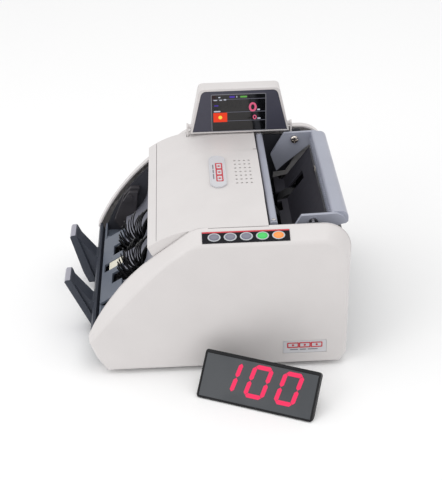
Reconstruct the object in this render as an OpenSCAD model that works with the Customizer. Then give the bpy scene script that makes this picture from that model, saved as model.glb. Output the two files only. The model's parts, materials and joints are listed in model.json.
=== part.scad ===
// Banknote counter: rear hopper, front stacker with paddle wheels, fold-down display on the left,
// button strip on the right side panel, and a separate remote readout that stands beside it.
// Origin on the table under the middle of the machine body. +Z up, -Y front (stacker side),
// +Y rear (hopper side), +X the side with the button strip. Millimetres.

/* [Body] */
// Overall width across both side panels
body_w = 260; // [256:1:270]
// Thickness of each side panel
panel_t = 18; // [17:0.5:19]
// Wall thickness of the moulded shells
wall = 2.5; // [2:0.1:2.8]
// Height of the top inner edge of the side panels
top_z = 155.5; // [155:0.1:156]
// Drop of the sloping band from the inner to the outer edge
band_drop = 10; // [9:0.5:11]
// Height of the table clearance under the body
foot_h = 5; // [4:0.5:6]

/* [Stacker] */
// Radius of the paddle wheels
impeller_r = 40; // [36:1:40]
// Distance of each paddle wheel from the middle
impeller_x = 29; // [27:1:31]
// Width of each paddle wheel
impeller_w = 16; // [8:1:17]
// Number of curved fingers on each paddle wheel
finger_count = 14; // [8:1:18]
// Height of the prong tips of the stacker plate
prong_z = 69; // [60:1:72]

/* [Hopper] */
// Clear width between the arms of the hopper tray
hopper_w = 185; // [180:1:186]
// Number of ribs along the rear rail
rib_count = 45; // [20:1:50]

/* [Display] */
// Width of the display housing at its foot
display_w = 110; // [104:1:111]
// Height of the display housing
display_h = 53; // [48:1:54]
// Visible width of the screen
screen_w = 59; // [50:1:64]
// Visible height of the screen
screen_h = 43; // [36:1:43]

/* [Buttons] */
// Distance from one button to the next
button_pitch = 15.4; // [14.5:0.1:16]
// Long diameter of a button
button_l = 12.5; // [10:0.1:13]
// Short diameter of a button
button_s = 9; // [7:0.1:9.4]

/* [Remote readout] */
// Width of the readout case
remote_w = 118; // [110:1:130]
// Height of the readout face along its slope
remote_face_h = 48; // [46:1:52]
// Backward lean of the readout face
remote_lean = 39; // [35:1:41]
// Turn of the readout on the table
remote_yaw = -24; // [-30:1:-18]
// Place of the middle of the readout's front edge, X
remote_x = 197; // [195:1:210]
// Place of the middle of the readout's front edge, Y
remote_y = 22; // [10:1:30]

/* [Hidden] */
$fn = 48;
eps = 0.01;

// Widths across the machine
half_w = body_w / 2;
panel_x = half_w - panel_t;         // inner edge of a side panel
frame_x = panel_x - 5.5;            // inner face of a steel side frame
frame_t = 2;
frame_out = frame_x + frame_t;
cover_x = panel_x - 1;              // half width of the top cover
band_tilt = atan2(band_drop, panel_t);
left_flat = panel_t / 2;            // width of the level top of the left panel
shell_white = [0.87, 0.855, 0.845];
slate = [0.2, 0.2, 0.25];
steel = [0.62, 0.63, 0.66];
dark_steel = [0.3, 0.31, 0.34];
black = [0.06, 0.06, 0.07];
rubber = [0.1, 0.1, 0.1];

// Shafts: [y, z] of each axis, which all run along X
impeller_axis = [-70, 61];
exit_axis = [-8, 88];
pinch_axis = [-8, 110.7];
feed_axis = [50, 80];
pickup_axis = [82, 90];
main_axis = [40, 32];
stacker_axis = [-30, 30];
shaft_r = 3;
bearing_r = 6.5;
fit = 0.05;                         // running clearance on a radius
exit_r = 12;
pinch_r = 10.4;
feed_r = 20;
pickup_r = 15;

// Outer plane of pulleys, inside the left side panel
pulley_x = -panel_x - 1;
belt_w = 5;
belt_t = 1.2;
belt_gap = 0.3;

// Display hinge line, along Y
display_pivot = [-panel_x + 8, 163];
display_y = 29;

// Tray hinge line, along X
tray_axis = [89, 148.5];
arm_t = 4;

// ---------- helpers ----------

// Points of an arc about c from angle a0 to a1
function arc_pts(c, r, a0, a1, n = 10) =
    [for (i = [0:n]) c + r * [cos(a0 + (a1 - a0) * i / n), sin(a0 + (a1 - a0) * i / n)]];

// Centre of the circle through three points
function circle_centre(a, b, c) =
    let (d = 2 * (a.x * (b.y - c.y) + b.x * (c.y - a.y) + c.x * (a.y - b.y)),
         aa = a * a, bb = b * b, cc = c * c)
    [(aa * (b.y - c.y) + bb * (c.y - a.y) + cc * (a.y - b.y)) / d,
     (aa * (c.x - b.x) + bb * (a.x - c.x) + cc * (b.x - a.x)) / d];

// Arc through three points, shorter than a half turn
function arc3(a, b, c, n = 10) =
    let (o = circle_centre(a, b, c), t0 = atan2(a.y - o.y, a.x - o.x),
         t = atan2(c.y - o.y, c.x - o.x), t1 = t - 360 * round((t - t0) / 360))
    arc_pts(o, norm(a - o), t0, t1, n);

// Extrudes a (y, z) outline along X from x0
module along_x(x0, len) translate([x0, 0, 0]) rotate([90, 0, 90]) linear_extrude(len) children();

// Extrudes an (x, z) outline along Y from y0
module along_y(y0, len) translate([0, y0 + len, 0]) rotate([90, 0, 0]) linear_extrude(len) children();

// A round bar along X about a [y, z] axis
module bar(axis, x0, x1, r) translate([x0, axis.x, axis.y]) rotate([0, 90, 0])
    cylinder(h = x1 - x0, r = r);

// A box given by its lowest and highest corners
module box(lo, hi) translate(lo) cube(hi - lo);

// The same piece on both sides
module both_sides() { children(); mirror([1, 0, 0]) children(); }

// A frame on the sloping band of the right panel: local Z is the band's normal
module on_band(y, depth = 0)
    translate([panel_x + panel_t / 2 + 1.3, y, top_z - band_drop / 2 - 0.72])
        rotate([0, band_tilt, 0]) translate([0, 0, depth]) children();

module ellipse(l, s) scale([s / l, 1]) circle(d = l);

// ---------- casing ----------

function panel_inner() = concat(
    [[-121, foot_h], [-130, 19]],
    arc3([-137, 37], [-107.6, 86], [-66.6, 126.5], 14),
    arc3([-37, top_z - 7.3], [-30, top_z - 2.7], [-21, top_z], 6),
    arc_pts([97, top_z - 27.5], 27.5, 90, 0, 12),
    [[122.5, 11], [116, foot_h]]);

function panel_outer() = concat(
    [[-119, foot_h], [-128.5, 20]],
    arc3([-135.5, 39], [-97, 85], [-56, 126.7], 14),
    arc3([-38, top_z - band_drop - 5.9], [-31, top_z - band_drop - 2.3], [-21, top_z - band_drop], 6),
    arc3([95, top_z - band_drop], [112, 136], [120.5, 112], 8),
    [[120.5, 14], [114, foot_h]]);

module side_panel_solid() hull() {
    along_x(panel_x, eps) polygon(panel_inner());
    along_x(half_w - eps, eps) polygon(panel_outer());
}

module side_panel_hollow() hull() {
    along_x(panel_x - 1, eps) offset(delta = -wall) polygon(panel_inner());
    along_x(half_w - wall, eps) offset(delta = -wall) polygon(panel_outer());
}

// Cut that leaves the dark slot beside the top cover
module cover_slot() box([panel_x - 1, -14, top_z - 9], [panel_x + 1.2, 44.5, top_z + 1]);

badge_y = [57, 101];
badge_z = [17, 32];
button_y = [for (i = [0:4]) -8.7 + i * button_pitch];
strip_y = [-20.3, 63.7];
strip_w = 12.8;
strip_t = 0.6;
board_depth = -9;

module side_panel_right() color(shell_white) {
    difference() {
        side_panel_solid();
        side_panel_hollow();
        cover_slot();
        for (y = button_y) on_band(y, -6) linear_extrude(10) ellipse(button_l + 0.8, button_s + 0.8);
        box([half_w - 0.8, badge_y[0], badge_z[0]], [half_w + 1, badge_y[1], badge_z[1]]);
    }
    for (y = [strip_y[0] - 1.5, strip_y[1] + 1.5]) on_band(y, board_depth) cylinder(h = 7, r = 2.4);
}

// The left panel stays level up to where the display stands, then slopes off
module side_panel_left() color(shell_white) mirror([1, 0, 0]) difference() {
    hull() {
        along_x(panel_x, left_flat) polygon(panel_inner());
        along_x(half_w - eps, eps) polygon(panel_outer());
    }
    hull() {
        along_x(panel_x - 1, left_flat) offset(delta = -wall) polygon(panel_inner());
        along_x(half_w - wall, eps) offset(delta = -wall) polygon(panel_outer());
    }
    cover_slot();
}

module side_badge() color("gainsboro")
    box([half_w - 0.8, badge_y[0] + 0.3, badge_z[0] + 0.3],
        [half_w - 0.1, badge_y[1] - 0.3, badge_z[1] - 0.3]);

cover_top = top_z - 1;
cover_rear = 44.5;

function cover_outline() = concat(
    [[-66.6, 124], [-69.5, 127]],
    arc3([-73.2, 135.2], [-53, 146.3], [-30, 152.2], 8),
    [[-14, cover_top - 0.3], [0, cover_top], [cover_rear, cover_top], [cover_rear, 141],
     [-20, 141]]);

ear_y = [display_y - display_w / 2 - 4, display_y + display_w / 2 + 1];
ear_t = 2;

module top_cover() color(shell_white) difference() {
    union() {
        difference() {
            along_x(-cover_x, 2 * cover_x) polygon(cover_outline());
            along_x(-cover_x + 2, 2 * cover_x - 4) difference() {
                translate([0, -wall]) polygon(cover_outline());
                translate([-75, 100]) square([10, 60]);
                translate([cover_rear - 2, 100]) square([10, 60]);
            }
            box([-frame_out - 0.3, -64.5, 100], [frame_out + 0.3, cover_rear - 2, 141]);
        }
        // low raised field that carries the badge and the sound holes
        hull() {
            along_x(-62, 124) polygon([[-44, 148.7], [-30, 152.1], [-14, cover_top - 0.4],
                [0, cover_top - 0.1], [cover_rear, cover_top - 0.1], [cover_rear, 152], [-44, 146.2]]);
            along_x(-47, 94) polygon([[-42, 149.4], [-30, 153.1], [-20, 155.3], [-8, cover_top + 2.3],
                [cover_rear, cover_top + 2.3], [cover_rear, 152], [-42, 147]]);
        }
    }
    // sound holes over the speaker
    for (ix = [0:6], iy = [0:3])
        translate([-26.6 + ix * 8.5, 19 + iy * 5, cover_top - 12]) cylinder(h = 20, d = 2.6, $fn = 20);
    // notches over the side frames
    both_sides() box([frame_x - 0.3, cover_rear - 4, 140], [frame_out + 0.3, cover_rear + 1, 148.3]);
    // slits for the display hinge ear and for the latch at the rear edge
    box([display_pivot.x - 2.7, ear_y[0] - 0.5, 130], [display_pivot.x + 4.5, ear_y[0] + ear_t + 0.5, top_z + 5]);
    box([-58, cover_rear - 4, cover_top - 1.5], [-54, cover_rear + 1, cover_top + 1]);
    // shallow trough the foot of the display turns in
    translate([display_pivot.x, display_y + display_w / 2 + 1, display_pivot.y]) rotate([90, 0, 0])
        cylinder(h = display_w + 2, r = 9.25);
}

module top_badge() color("silver") translate([0, 0, cover_top + 2.3]) linear_extrude(2)
    polygon(concat(arc_pts([-28, 0], 8.5, 90, 270, 14), [[28.5, -8.5], [34.5, -3], [34.5, 3], [28.5, 8.5]]));

inlet_x = -71;
rocker_x = -36;
socket_x = 30;
rear_z = 30;
rear_y = 122.3;

module rear_cover() color(black) difference() {
    along_x(-panel_x + 0.3, 2 * panel_x - 0.6) polygon(concat(
        [[rear_y - wall, 8], [rear_y, 8]],
        arc_pts([98, 118], rear_y - 98, 0, 42, 6),
        arc_pts([98, 118], rear_y - 98 - wall, 42, 0, 6)));
    box([inlet_x - 13.8, 100, rear_z - 10], [inlet_x + 13.8, 130, rear_z + 10]);
    box([rocker_x - 10.5, 100, rear_z - 7.2], [rocker_x + 10.5, 130, rear_z + 7.2]);
    box([socket_x - 7, 100, rear_z - 6], [socket_x + 7, 130, rear_z + 6]);
    // cooling slots
    for (i = [0:8]) box([48 + i * 6, 100, 60], [51 + i * 6, 130, 95]);
}

// Feet at the corners and one under the middle
foot_places = [[95, 95], [-95, 95], [95, -95], [-95, -95], [0, 0]];

module base_chassis() color(dark_steel) difference() {
    union() {
        box([-panel_x + 0.3, -119, foot_h], [panel_x - 0.3, 116, foot_h + 2]);
        box([-frame_x, 114, foot_h], [frame_x, 116, foot_h + 14]);
        box([-frame_x, -111, foot_h], [frame_x, -109, foot_h + 14]);
    }
    for (p = foot_places) translate(p) cylinder(h = 12, r = 2.5);
    for (i = [0:7]) box([-20 + i * 12, 20, 0], [-15 + i * 12, 60, 12]);
}

module rubber_feet() color(rubber) for (p = foot_places) translate(p) {
    cylinder(h = foot_h, r1 = 8, r2 = 9.5);
    cylinder(h = foot_h + 2, r = 2.5);
    translate([0, 0, foot_h + 2]) cylinder(h = 1.5, r = 3.6);
}

function frame_outline() = concat(
    [[-112, foot_h + 2], [-120, 20]],
    arc3([-127, 37], [-102, 84], [-63, 122.5], 12),
    [[-31, 145], [-22, 148], [79, 148], [82, 153.5], [96, 153.5]],
    arc_pts([91, 127], 21, 66, 0, 8),
    [[112, 12], [108, foot_h + 2]]);

module frame_hole(axis, r) along_x(frame_x - 1, frame_t + 2) translate(axis) circle(r = r);

module side_frames() color(dark_steel) both_sides() difference() {
    along_x(frame_x, frame_t) polygon(frame_outline());
    for (a = [impeller_axis, exit_axis, pinch_axis, feed_axis, pickup_axis])
        frame_hole(a, bearing_r);
    frame_hole(main_axis, 7);
    frame_hole(stacker_axis, 6);
    frame_hole(tray_axis, 2.5);
    // lightening holes
    frame_hole([0, 40], 16);
    frame_hole([88, 42], 15);
}

module bearing(axis) bearing_ring(axis, frame_x - 1.5, 5);
module bearing_ring(axis, x0, len) along_x(x0, len) translate(axis) difference() {
    circle(r = bearing_r);
    circle(r = shaft_r + fit);
}

module shaft_bearings() color(steel) both_sides()
    for (a = [impeller_axis, exit_axis, pinch_axis, feed_axis, pickup_axis]) bearing(a);

// ---------- stacker ----------

prong_x = [33.2, 58.8];
plate_side = panel_x - 0.4;

// Lower wall of the stacker plate, seen from the side: it follows the front of the side panels
function plate_wall() = [[-120, 7.5], [-128.5, 20], [-135.5, 37], [-133.5, 41], [-131, 40],
    [-131, 37], [-124.5, 22], [-116.5, 7.5]];

// Section of a prong, which is deeper on its inner side: a broad band in front and a narrower
// web behind it
function prong_tip() = [[-162.5, prong_z - 1.6], [-161, prong_z + 0.6], [-156.5, prong_z + 1],
    [-155.2, prong_z]];
prong_notch_side = concat([[-146, 9], [-151.5, 23]], prong_tip(), [[-138, 9]]);
prong_outer_side = concat([[-138, 12]], prong_tip(), [[-131, 12]]);
prong_web_rear = [[-157, prong_z - 1.4], [-155.6, prong_z - 1.4], [-136, 41], [-131.5, 39], [-129, 12]];
prong_web_in = 2.5;

module stacker_plate() color(steel) {
    along_x(-plate_side, 2 * plate_side) polygon(plate_wall());
    both_sides() {
        hull() {
            along_x(prong_x[0], 2) polygon(prong_notch_side);
            along_x(prong_x[1] - 2, 2) polygon(prong_outer_side);
        }
        along_x(prong_x[0] + prong_web_in, prong_x[1] - prong_x[0] - 2 * prong_web_in)
            polygon(concat([[-139, 13]], prong_web_rear));
    }
}

floor_x = 66;
floor_tilt = 31;
floor_front = [-127.5, 44];
floor_len = 27;
wheel_gap = 10;                     // half width of the slots that the paddle wheels turn in

module stacker_floor() color([0.4, 0.43, 0.48]) {
    translate([0, floor_front.x, floor_front.y]) rotate([floor_tilt, 0, 0]) difference() {
        box([-floor_x, 0, -2.5], [floor_x, floor_len, 0]);
        // slots for the paddle wheels and the note sensor
        for (s = [-1, 1]) box([s * impeller_x - wheel_gap, 14, -4], [s * impeller_x + wheel_gap, 40, 2]);
        box([-8, 3, -4], [8, 40, 2]);
    }
    // front skirt and side rails that carry the plate on the side frames
    box([-frame_x, floor_front.x, 34], [frame_x, floor_front.x + 2.2, floor_front.y - 1]);
    both_sides() box([floor_x + 12, floor_front.x + 1, 31], [frame_x, floor_front.x + 22, 34.2]);
    both_sides() box([floor_x, floor_front.x + 1, 31], [floor_x + 12, floor_front.x + 12, 42]);
}

module stacker_sensor_strip() color("ivory")
    translate([0, floor_front.x, floor_front.y]) rotate([floor_tilt, 0, 0]) {
        box([-7.5, 9, -2.2], [7.5, 26, -0.4]);
        box([-6, 10, -6], [6, 24, -2.2]);
    }

// Curved plate behind the paddle wheels: centre line from the floor up to the visor
function guide_line() = concat(arc3([-103, 54.5], [-86, 66], [-77, 84], 8),
    arc3([-76, 90], [-72.5, 106], [-63, 121], 6));

module stacker_guide() color([0.5, 0.51, 0.55]) difference() {
    along_x(-frame_x, 2 * frame_x) polygon(concat(guide_line(),
        [for (i = [len(guide_line()) - 1:-1:0]) guide_line()[i] + [1.8, -1.2]]));
    for (s = [-1, 1]) box([s * impeller_x - wheel_gap, -120, 20], [s * impeller_x + wheel_gap, -40, 108]);
    box([-8, -120, 20], [8, -98, 62]);
    // room for the wall brackets
    both_sides() along_x(frame_x - 7.4, 8)
        polygon([[-109.5, 37.6], [-91.5, 59.9], [-88.6, 75], [-120, 75], [-120, 37.6]]);
}

module stacker_wall_brackets() color([0.45, 0.45, 0.48]) both_sides() {
    along_x(frame_x - 7, 7) polygon([[-117, 50], [-104, 82], [-96, 91], [-86, 91], [-92, 60], [-110, 38]]);
    along_x(frame_x - 12, 5) polygon([[-106, 76], [-98, 88], [-88, 88], [-90, 76]]);
    translate([frame_x - 13.2, -97, 81.5]) rotate([0, 90, 0]) cylinder(h = 1.3, r = 3.2);
}

module impeller_shaft() color(steel) {
    bar(impeller_axis, -panel_x - 8, frame_out + 3, shaft_r);
    pulley(impeller_axis, 14);
}

// One curved finger: it trails back as it leaves the hub
hub_r = 13;
finger_sweep = 62;
function finger_point(a, t, side) =
    let (r = hub_r - 2 + (impeller_r - hub_r + 2) * t, w = 1.1 - 0.45 * t, b = a - finger_sweep * t)
    r * [cos(b), sin(b)] + side * w * [sin(b - 35), -cos(b - 35)];
module finger(a) polygon(concat(
    [for (i = [0:9]) finger_point(a, i / 9 * 0.985, 1)],
    [for (i = [9:-1:0]) finger_point(a, i / 9 * 0.985, -1)]));

module impeller_wheels() color(black) both_sides()
    along_x(impeller_x - impeller_w / 2, impeller_w) translate(impeller_axis) difference() {
        union() {
            circle(r = hub_r);
            for (i = [0:finger_count - 1]) finger(i * 360 / finger_count);
        }
        circle(r = shaft_r);
    }

// ---------- drive ----------

// Flanged pulley in the belt plane, pressed on a shaft
module pulley(axis, r) difference() {
    union() {
        bar(axis, pulley_x - belt_w, pulley_x, r);
        bar(axis, pulley_x, pulley_x + 0.8, r + 1.4);
        bar(axis, pulley_x - belt_w - 0.8, pulley_x - belt_w, r + 1.4);
    }
    bar(axis, pulley_x - belt_w - 2, pulley_x + 2, shaft_r);
}

// Flat loop round pulleys given as [axis, radius]
module belt(loop) along_x(pulley_x - belt_w + 0.3, belt_w - 0.6) difference() {
    hull() for (p = loop) translate(p[0]) circle(r = p[1] + belt_gap + belt_t);
    hull() for (p = loop) translate(p[0]) circle(r = p[1] + belt_gap);
}

module motor(axis, r, len) {
    bar(axis, -frame_x, -frame_x + len, r);
    bar(axis, -frame_x + len, -frame_x + len + 3, r * 0.45);
}

main_pulley_r = 9;
stacker_pulley_r = 7;
feed_pulley_r = 14;
exit_pulley_r = 9;
pickup_pulley_r = 9;

module motor_pulley(axis, r) color("gray") {
    bar(axis, pulley_x - belt_w - 1.5, -frame_out - 0.6, shaft_r);
    pulley(axis, r);
}

module stacker_motor() color(steel) motor(stacker_axis, 16, 42);
module stacker_motor_pulley() motor_pulley(stacker_axis, stacker_pulley_r);
module main_motor() color(steel) motor(main_axis, 22, 60);
module main_motor_pulley() motor_pulley(main_axis, main_pulley_r);
module stacker_belt() color(rubber) belt([[impeller_axis, 14], [stacker_axis, stacker_pulley_r]]);
module main_belt() color(rubber)
    belt([[main_axis, main_pulley_r], [feed_axis, feed_pulley_r], [exit_axis, exit_pulley_r]]);

inner_plane = 99;                   // second belt plane, inside the left frame
module inner_pulley(axis, r) {
    bar(axis, -inner_plane - 4, -inner_plane, r);
    bar(axis, -inner_plane, -inner_plane + 0.8, r + 1.2);
}
module pickup_belt() color(rubber) along_x(-inner_plane - 3.8, 3.6) difference() {
    hull() for (a = [feed_axis, pickup_axis]) translate(a) circle(r = pickup_pulley_r + belt_gap + belt_t);
    hull() for (a = [feed_axis, pickup_axis]) translate(a) circle(r = pickup_pulley_r + belt_gap);
}

module feed_shaft() color(steel) {
    bar(feed_axis, -panel_x - 8, frame_out + 3, shaft_r);
    pulley(feed_axis, feed_pulley_r);
    inner_pulley(feed_axis, pickup_pulley_r);
}
module pickup_shaft() color(steel) {
    bar(pickup_axis, -frame_out - 3, frame_out + 3, shaft_r);
    inner_pulley(pickup_axis, pickup_pulley_r);
}
module exit_shaft() color(steel) {
    bar(exit_axis, -panel_x - 8, frame_out + 3, shaft_r);
    pulley(exit_axis, exit_pulley_r);
}

// Pairs of rollers on a shaft: rubber tyres with the shaft's bore
module roller_set(axis, r, places, w) both_sides() for (x = places)
    along_x(x - w / 2, w) translate(axis) difference() { circle(r = r); circle(r = shaft_r); }

module feed_rollers() color(rubber) roller_set(feed_axis, feed_r, [29], 18);
module pickup_rollers() color(rubber) roller_set(pickup_axis, pickup_r, [52], 16);
module exit_rollers() color(rubber) roller_set(exit_axis, exit_r, [18, 46, 74], 12);
module pinch_rollers() color("dimgray") {
    roller_set(pinch_axis, pinch_r, [18, 46, 74], 11);
    bar(pinch_axis, -frame_out - 3, frame_out + 3, shaft_r);
}

// ---------- note path ----------

module note_path_plate() color(dark_steel) difference() {
    union() {
        along_x(-frame_x, 2 * frame_x) polygon([[8, 96], [33, 100], [33, 98], [8, 94]]);
        box([-frame_x, 10, 88], [frame_x, 12, 95]);
    }
    for (s = [-1, 1]) box([s * 29 - 11, 27, 80], [s * 29 + 11, 40, 110]);
}

module sensor_bar() color(black) {
    box([-frame_x, 10, 106], [frame_x, 32, 118]);
    for (x = [-75:30:75]) translate([x, 21, 104]) cylinder(h = 2, r = 3.5);
}

module friction_block() color(dark_steel) {
    box([-42, 42, feed_axis.y + feed_r + 3], [42, 53, feed_axis.y + feed_r + 14]);
    box([-frame_x, 44, feed_axis.y + feed_r + 14], [frame_x, 48, feed_axis.y + feed_r + 22]);
    for (s = [-1, 1]) box([s * 29 - 8, 44, feed_axis.y + feed_r + 0.4], [s * 29 + 8, 52, feed_axis.y + feed_r + 3]);
}

// ---------- hopper ----------

module hopper_front_rail() color([0.6, 0.61, 0.67]) {
    along_x(-102, 204) polygon(concat([[46.5, 145], [46.5, 150.5]],
        arc_pts([49, 150.5], 2.5, 180, 90, 4), arc_pts([51.5, 150.5], 2.5, 90, 0, 4), [[54, 145]]));
    both_sides() box([102, 47, 145], [frame_x, 53, 147.5]);
    both_sides() translate([98, 50.2, 153]) cylinder(h = 1, r = 2.4);
    // the wall that hangs from the rail closes the pit towards the front
    box([-frame_x, 49, feed_axis.y + feed_r + 22.5], [frame_x, 51, 145]);
}

floor_top = [105, 139];
floor_bend = [77, 101];
module hopper_floor() color(slate) {
    difference() {
        along_x(-90, 180) polygon([floor_top, floor_bend, [66, 98.5], [66, 96.5], [78, 98.5],
            floor_top + [2.2, -1.6]]);
        for (s = [-1, 1]) {
            box([s * 52 - 9, 64, 80], [s * 52 + 9, 97, 125]);
            box([s * 29 - 10, 60, 90], [s * 29 + 10, 70.5, 110]);
        }
    }
    // tabs that rest against the side guides
    both_sides() along_x(90, 8.6) polygon([[66, 96.5], [72, 97.5], [72, 99.8], [66, 98.5]]);
}

module hopper_side_guides() color(steel) both_sides() {
    difference() {
        along_x(98.6, 1.5) polygon([[66, 104.5], [66, 98], [72, 100], [90, 103], [112, 124],
            [112, 134], [106, 139], [99, 138], [80, 106.5]]);
        for (h = [[94.4, 113.3], [104.5, 129.5]]) along_x(97, 5) translate(h) circle(r = 2.2);
    }
    // posts to the side frame
    for (h = [[90, 107], [107, 122]]) along_x(100.1, frame_x - 100.1) translate(h) circle(r = 3);
}

tray_in = hopper_w / 2;
rail_y = [107, 124];
rail_top = 157;

module hopper_tray() color([0.6, 0.62, 0.66]) {
    along_x(-tray_in, 2 * tray_in) polygon(concat([[rail_y[0], 145], [rail_y[0], rail_top - 4]],
        arc_pts([rail_y[0] + 4, rail_top - 4], 4, 180, 90, 5),
        arc_pts([rail_y[1] - 7, rail_top - 7], 7, 90, 0, 6), [[rail_y[1], 145.5], [rail_y[1] - 3, 143]]));
    both_sides() difference() {
        along_x(tray_in, arm_t) polygon([[62.6, 129.8], [77.5, 155.5], [112, 156.5], [119, 153],
            [122, 146], [112, 143.5], [105.5, 140.7], [78.7, 118.5], [69.2, 109.4]]);
        along_x(tray_in - 1, arm_t + 2) translate(tray_axis) circle(r = 3 + fit);
    }
    // fine ribs along the front edge of the rail
    for (i = [0:rib_count - 1])
        translate([-tray_in + 4 + i * (2 * tray_in - 8) / (rib_count - 1), rail_y[0] - 1.6, 144.5])
            cube([1.2, 2, 7], center = false);
}

module tray_pivot_screws() color(steel) both_sides() {
    bar(tray_axis, tray_in - 0.2, tray_in + arm_t + 1.3, 3);
    bar(tray_axis, tray_in + arm_t + 1.3, frame_x, 1.9);
    bar(tray_axis, frame_x, frame_out, 2.5);
    bar(tray_axis, tray_in - 2.2, tray_in - 0.2, 4.6);
    bar(tray_axis, tray_in + arm_t + 0.3, tray_in + arm_t + 1.3, 4.6);
}

// ---------- electrics ----------

module main_board() color("darkgreen") {
    box([-30, -22, 14], [98, 66, 15.6]);
    for (p = [[-22, -14], [90, -14], [-22, 56], [90, 56]])
        translate([p.x, p.y, foot_h + 2]) cylinder(h = 14 - foot_h - 2, r = 2.5);
    for (c = [[0, 0, 18, 18, 2.5], [40, 5, 14, 14, 2], [60, 30, 22, 12, 10], [0, 40, 30, 8, 9]])
        translate([c[0], c[1], 15.6]) cube([c[2], c[3], c[4]]);
    for (x = [-15:14:27]) translate([x, 32, 15.6]) cylinder(h = 12, r = 4);
}

module power_supply() color("silver") difference() {
    box([-24, 72, foot_h + 2], [84, 108, 45]);
    for (i = [0:9]) box([-16 + i * 10, 70, 20], [-11 + i * 10, 76, 40]);
}

module power_inlet() color(black) difference() {
    union() {
        box([inlet_x - 22.5, rear_y, rear_z - 11], [inlet_x + 22.5, rear_y + 2.4, rear_z + 11]);
        box([inlet_x - 13.5, rear_y - 22, rear_z - 9.7], [inlet_x + 13.5, rear_y, rear_z + 9.7]);
    }
    box([inlet_x - 11.5, rear_y - 14, rear_z - 7.6], [inlet_x + 11.5, rear_y + 3, rear_z + 7.6]);
    for (s = [-1, 1]) along_y(rear_y - 1, 5) translate([inlet_x + s * 18.6, rear_z]) circle(r = 1.7);
}

// Hinge line of the rocker, along Z
rocker_axis_y = rear_y - 3;
rocker_pin_r = 1.4;

// Switch body that the rocker sits in, open at the rear
module switch_body() color(black) difference() {
    union() {
        box([rocker_x - 12, rear_y, rear_z - 8.6], [rocker_x + 12, rear_y + 1.2, rear_z + 8.6]);
        box([rocker_x - 10.4, rear_y - 20, rear_z - 7.1], [rocker_x + 10.4, rear_y, rear_z + 7.1]);
    }
    box([rocker_x - 9.4, rear_y - 10.5, rear_z - 6.2], [rocker_x + 9.4, rear_y + 2, rear_z + 6.2]);
    translate([rocker_x, rocker_axis_y, rear_z - 6.7]) cylinder(h = 13.4, r = rocker_pin_r + fit);
}

module power_rocker() color(rubber) translate([rocker_x, rocker_axis_y, rear_z]) {
    translate([0, 0, -5.9]) linear_extrude(11.8)
        polygon([[-8.2, -4], [-8.2, 3.6], [0, 2.4], [7.7, 6], [8.2, -4]]);
    translate([0, 0, -6.6]) cylinder(h = 13.2, r = rocker_pin_r);
}

module readout_socket() color(black) difference() {
    box([socket_x - 6.8, rear_y - 12, rear_z - 5.8], [socket_x + 6.8, rear_y + 0.6, rear_z + 5.8]);
    box([socket_x - 5, rear_y - 9, rear_z - 3.6], [socket_x + 5, rear_y + 1, rear_z + 3.6]);
}

module speaker() color(dark_steel) {
    translate([-1.1, 26.5, 141]) cylinder(h = cover_top - 146, r = 14);
    translate([-1.1, 26.5, 134]) cylinder(h = 7, r = 10);
}

// ---------- buttons ----------

module button_strip() color(black) difference() {
    on_band((strip_y[0] + strip_y[1]) / 2) translate([-strip_w / 2, -(strip_y[1] - strip_y[0]) / 2, 0])
        cube([strip_w, strip_y[1] - strip_y[0], strip_t]);
    for (y = button_y) on_band(y, -1) linear_extrude(4) ellipse(button_l + 0.6, button_s + 0.6);
}

module button_board() color("darkgreen") {
    on_band((strip_y[0] + strip_y[1]) / 2, board_depth - 1.6)
        translate([-6, -(strip_y[1] - strip_y[0]) / 2 - 3, 0]) cube([12, strip_y[1] - strip_y[0] + 6, 1.6]);
    for (y = button_y) on_band(y, board_depth) linear_extrude(2.2) square(5, center = true);
}

module button(i) {
    on_band(button_y[i], 0) {
        translate([0, 0, -3]) linear_extrude(4.2) ellipse(button_l, button_s);
        translate([0, 0, 1.2]) linear_extrude(0.6) ellipse(button_l - 2.4, button_s - 2.2);
        translate([0, 0, -5.9]) cylinder(h = 3, r = 1.8);
    }
}
module button_1() color("slategray") button(0);
module button_2() color("slategray") button(1);
module button_3() color("slategray") button(2);
module button_4() color([0.24, 0.75, 0.35]) button(3);
module button_5() color([0.96, 0.55, 0.24]) button(4);

// ---------- display ----------

display_face = 7;                   // face plane in front of the hinge line
display_depth = 23;
housing_z0 = -7;                    // foot of the housing below the hinge line
taper = 10;                         // how much each side leans in towards the top

// Outline of the housing from the front, (y, z) about the hinge line
function housing_front(inset) =
    let (w = display_w / 2 - inset, h = display_h + housing_z0 - inset, r = 6)
    concat([[-w, housing_z0 + inset], [w, housing_z0 + inset]],
        arc_pts([w - taper - r, h - r], r, 10, 90, 5), arc_pts([-w + taper + r, h - r], r, 90, 170, 5));

// Side section of the housing, (x, z) about the hinge line
function housing_side(inset) = [[display_face, housing_z0 + inset],
    [display_face, display_h + housing_z0 - inset],
    [display_face - display_depth + 4 + inset, display_h + housing_z0 - inset],
    [display_face - display_depth + inset, display_h + housing_z0 - 6],
    [display_face - display_depth + inset, 6], [-7 + inset, housing_z0 + inset]];

module at_display() translate([display_pivot.x, display_y, display_pivot.y]) children();

module housing_volume(inset) intersection() {
    along_x(-40, 60) polygon(housing_front(inset));
    along_y(-80, 160) polygon(housing_side(inset));
}

module display_housing() color(shell_white) at_display() difference() {
    housing_volume(0);
    translate([eps, 0, 0]) housing_volume(2.5);
    // bevelled foot, so the housing can fold over the cover
    along_y(-60, 120) polygon([[4.6, -8], [8, -8], [8, -4.6]]);
    for (s = [-1, 1]) translate([0, s * display_w / 2, 0]) rotate([90, 0, 0])
        cylinder(h = 14, r = 2.5 + fit, center = true);
}

module display_panel() color(slate) at_display() difference() {
    along_x(display_face - 2.2, 2) polygon(housing_front(2.7));
    along_x(0, 20) translate([-screen_w / 2 - 1, -4]) square([screen_w, screen_h]);
}

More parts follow.
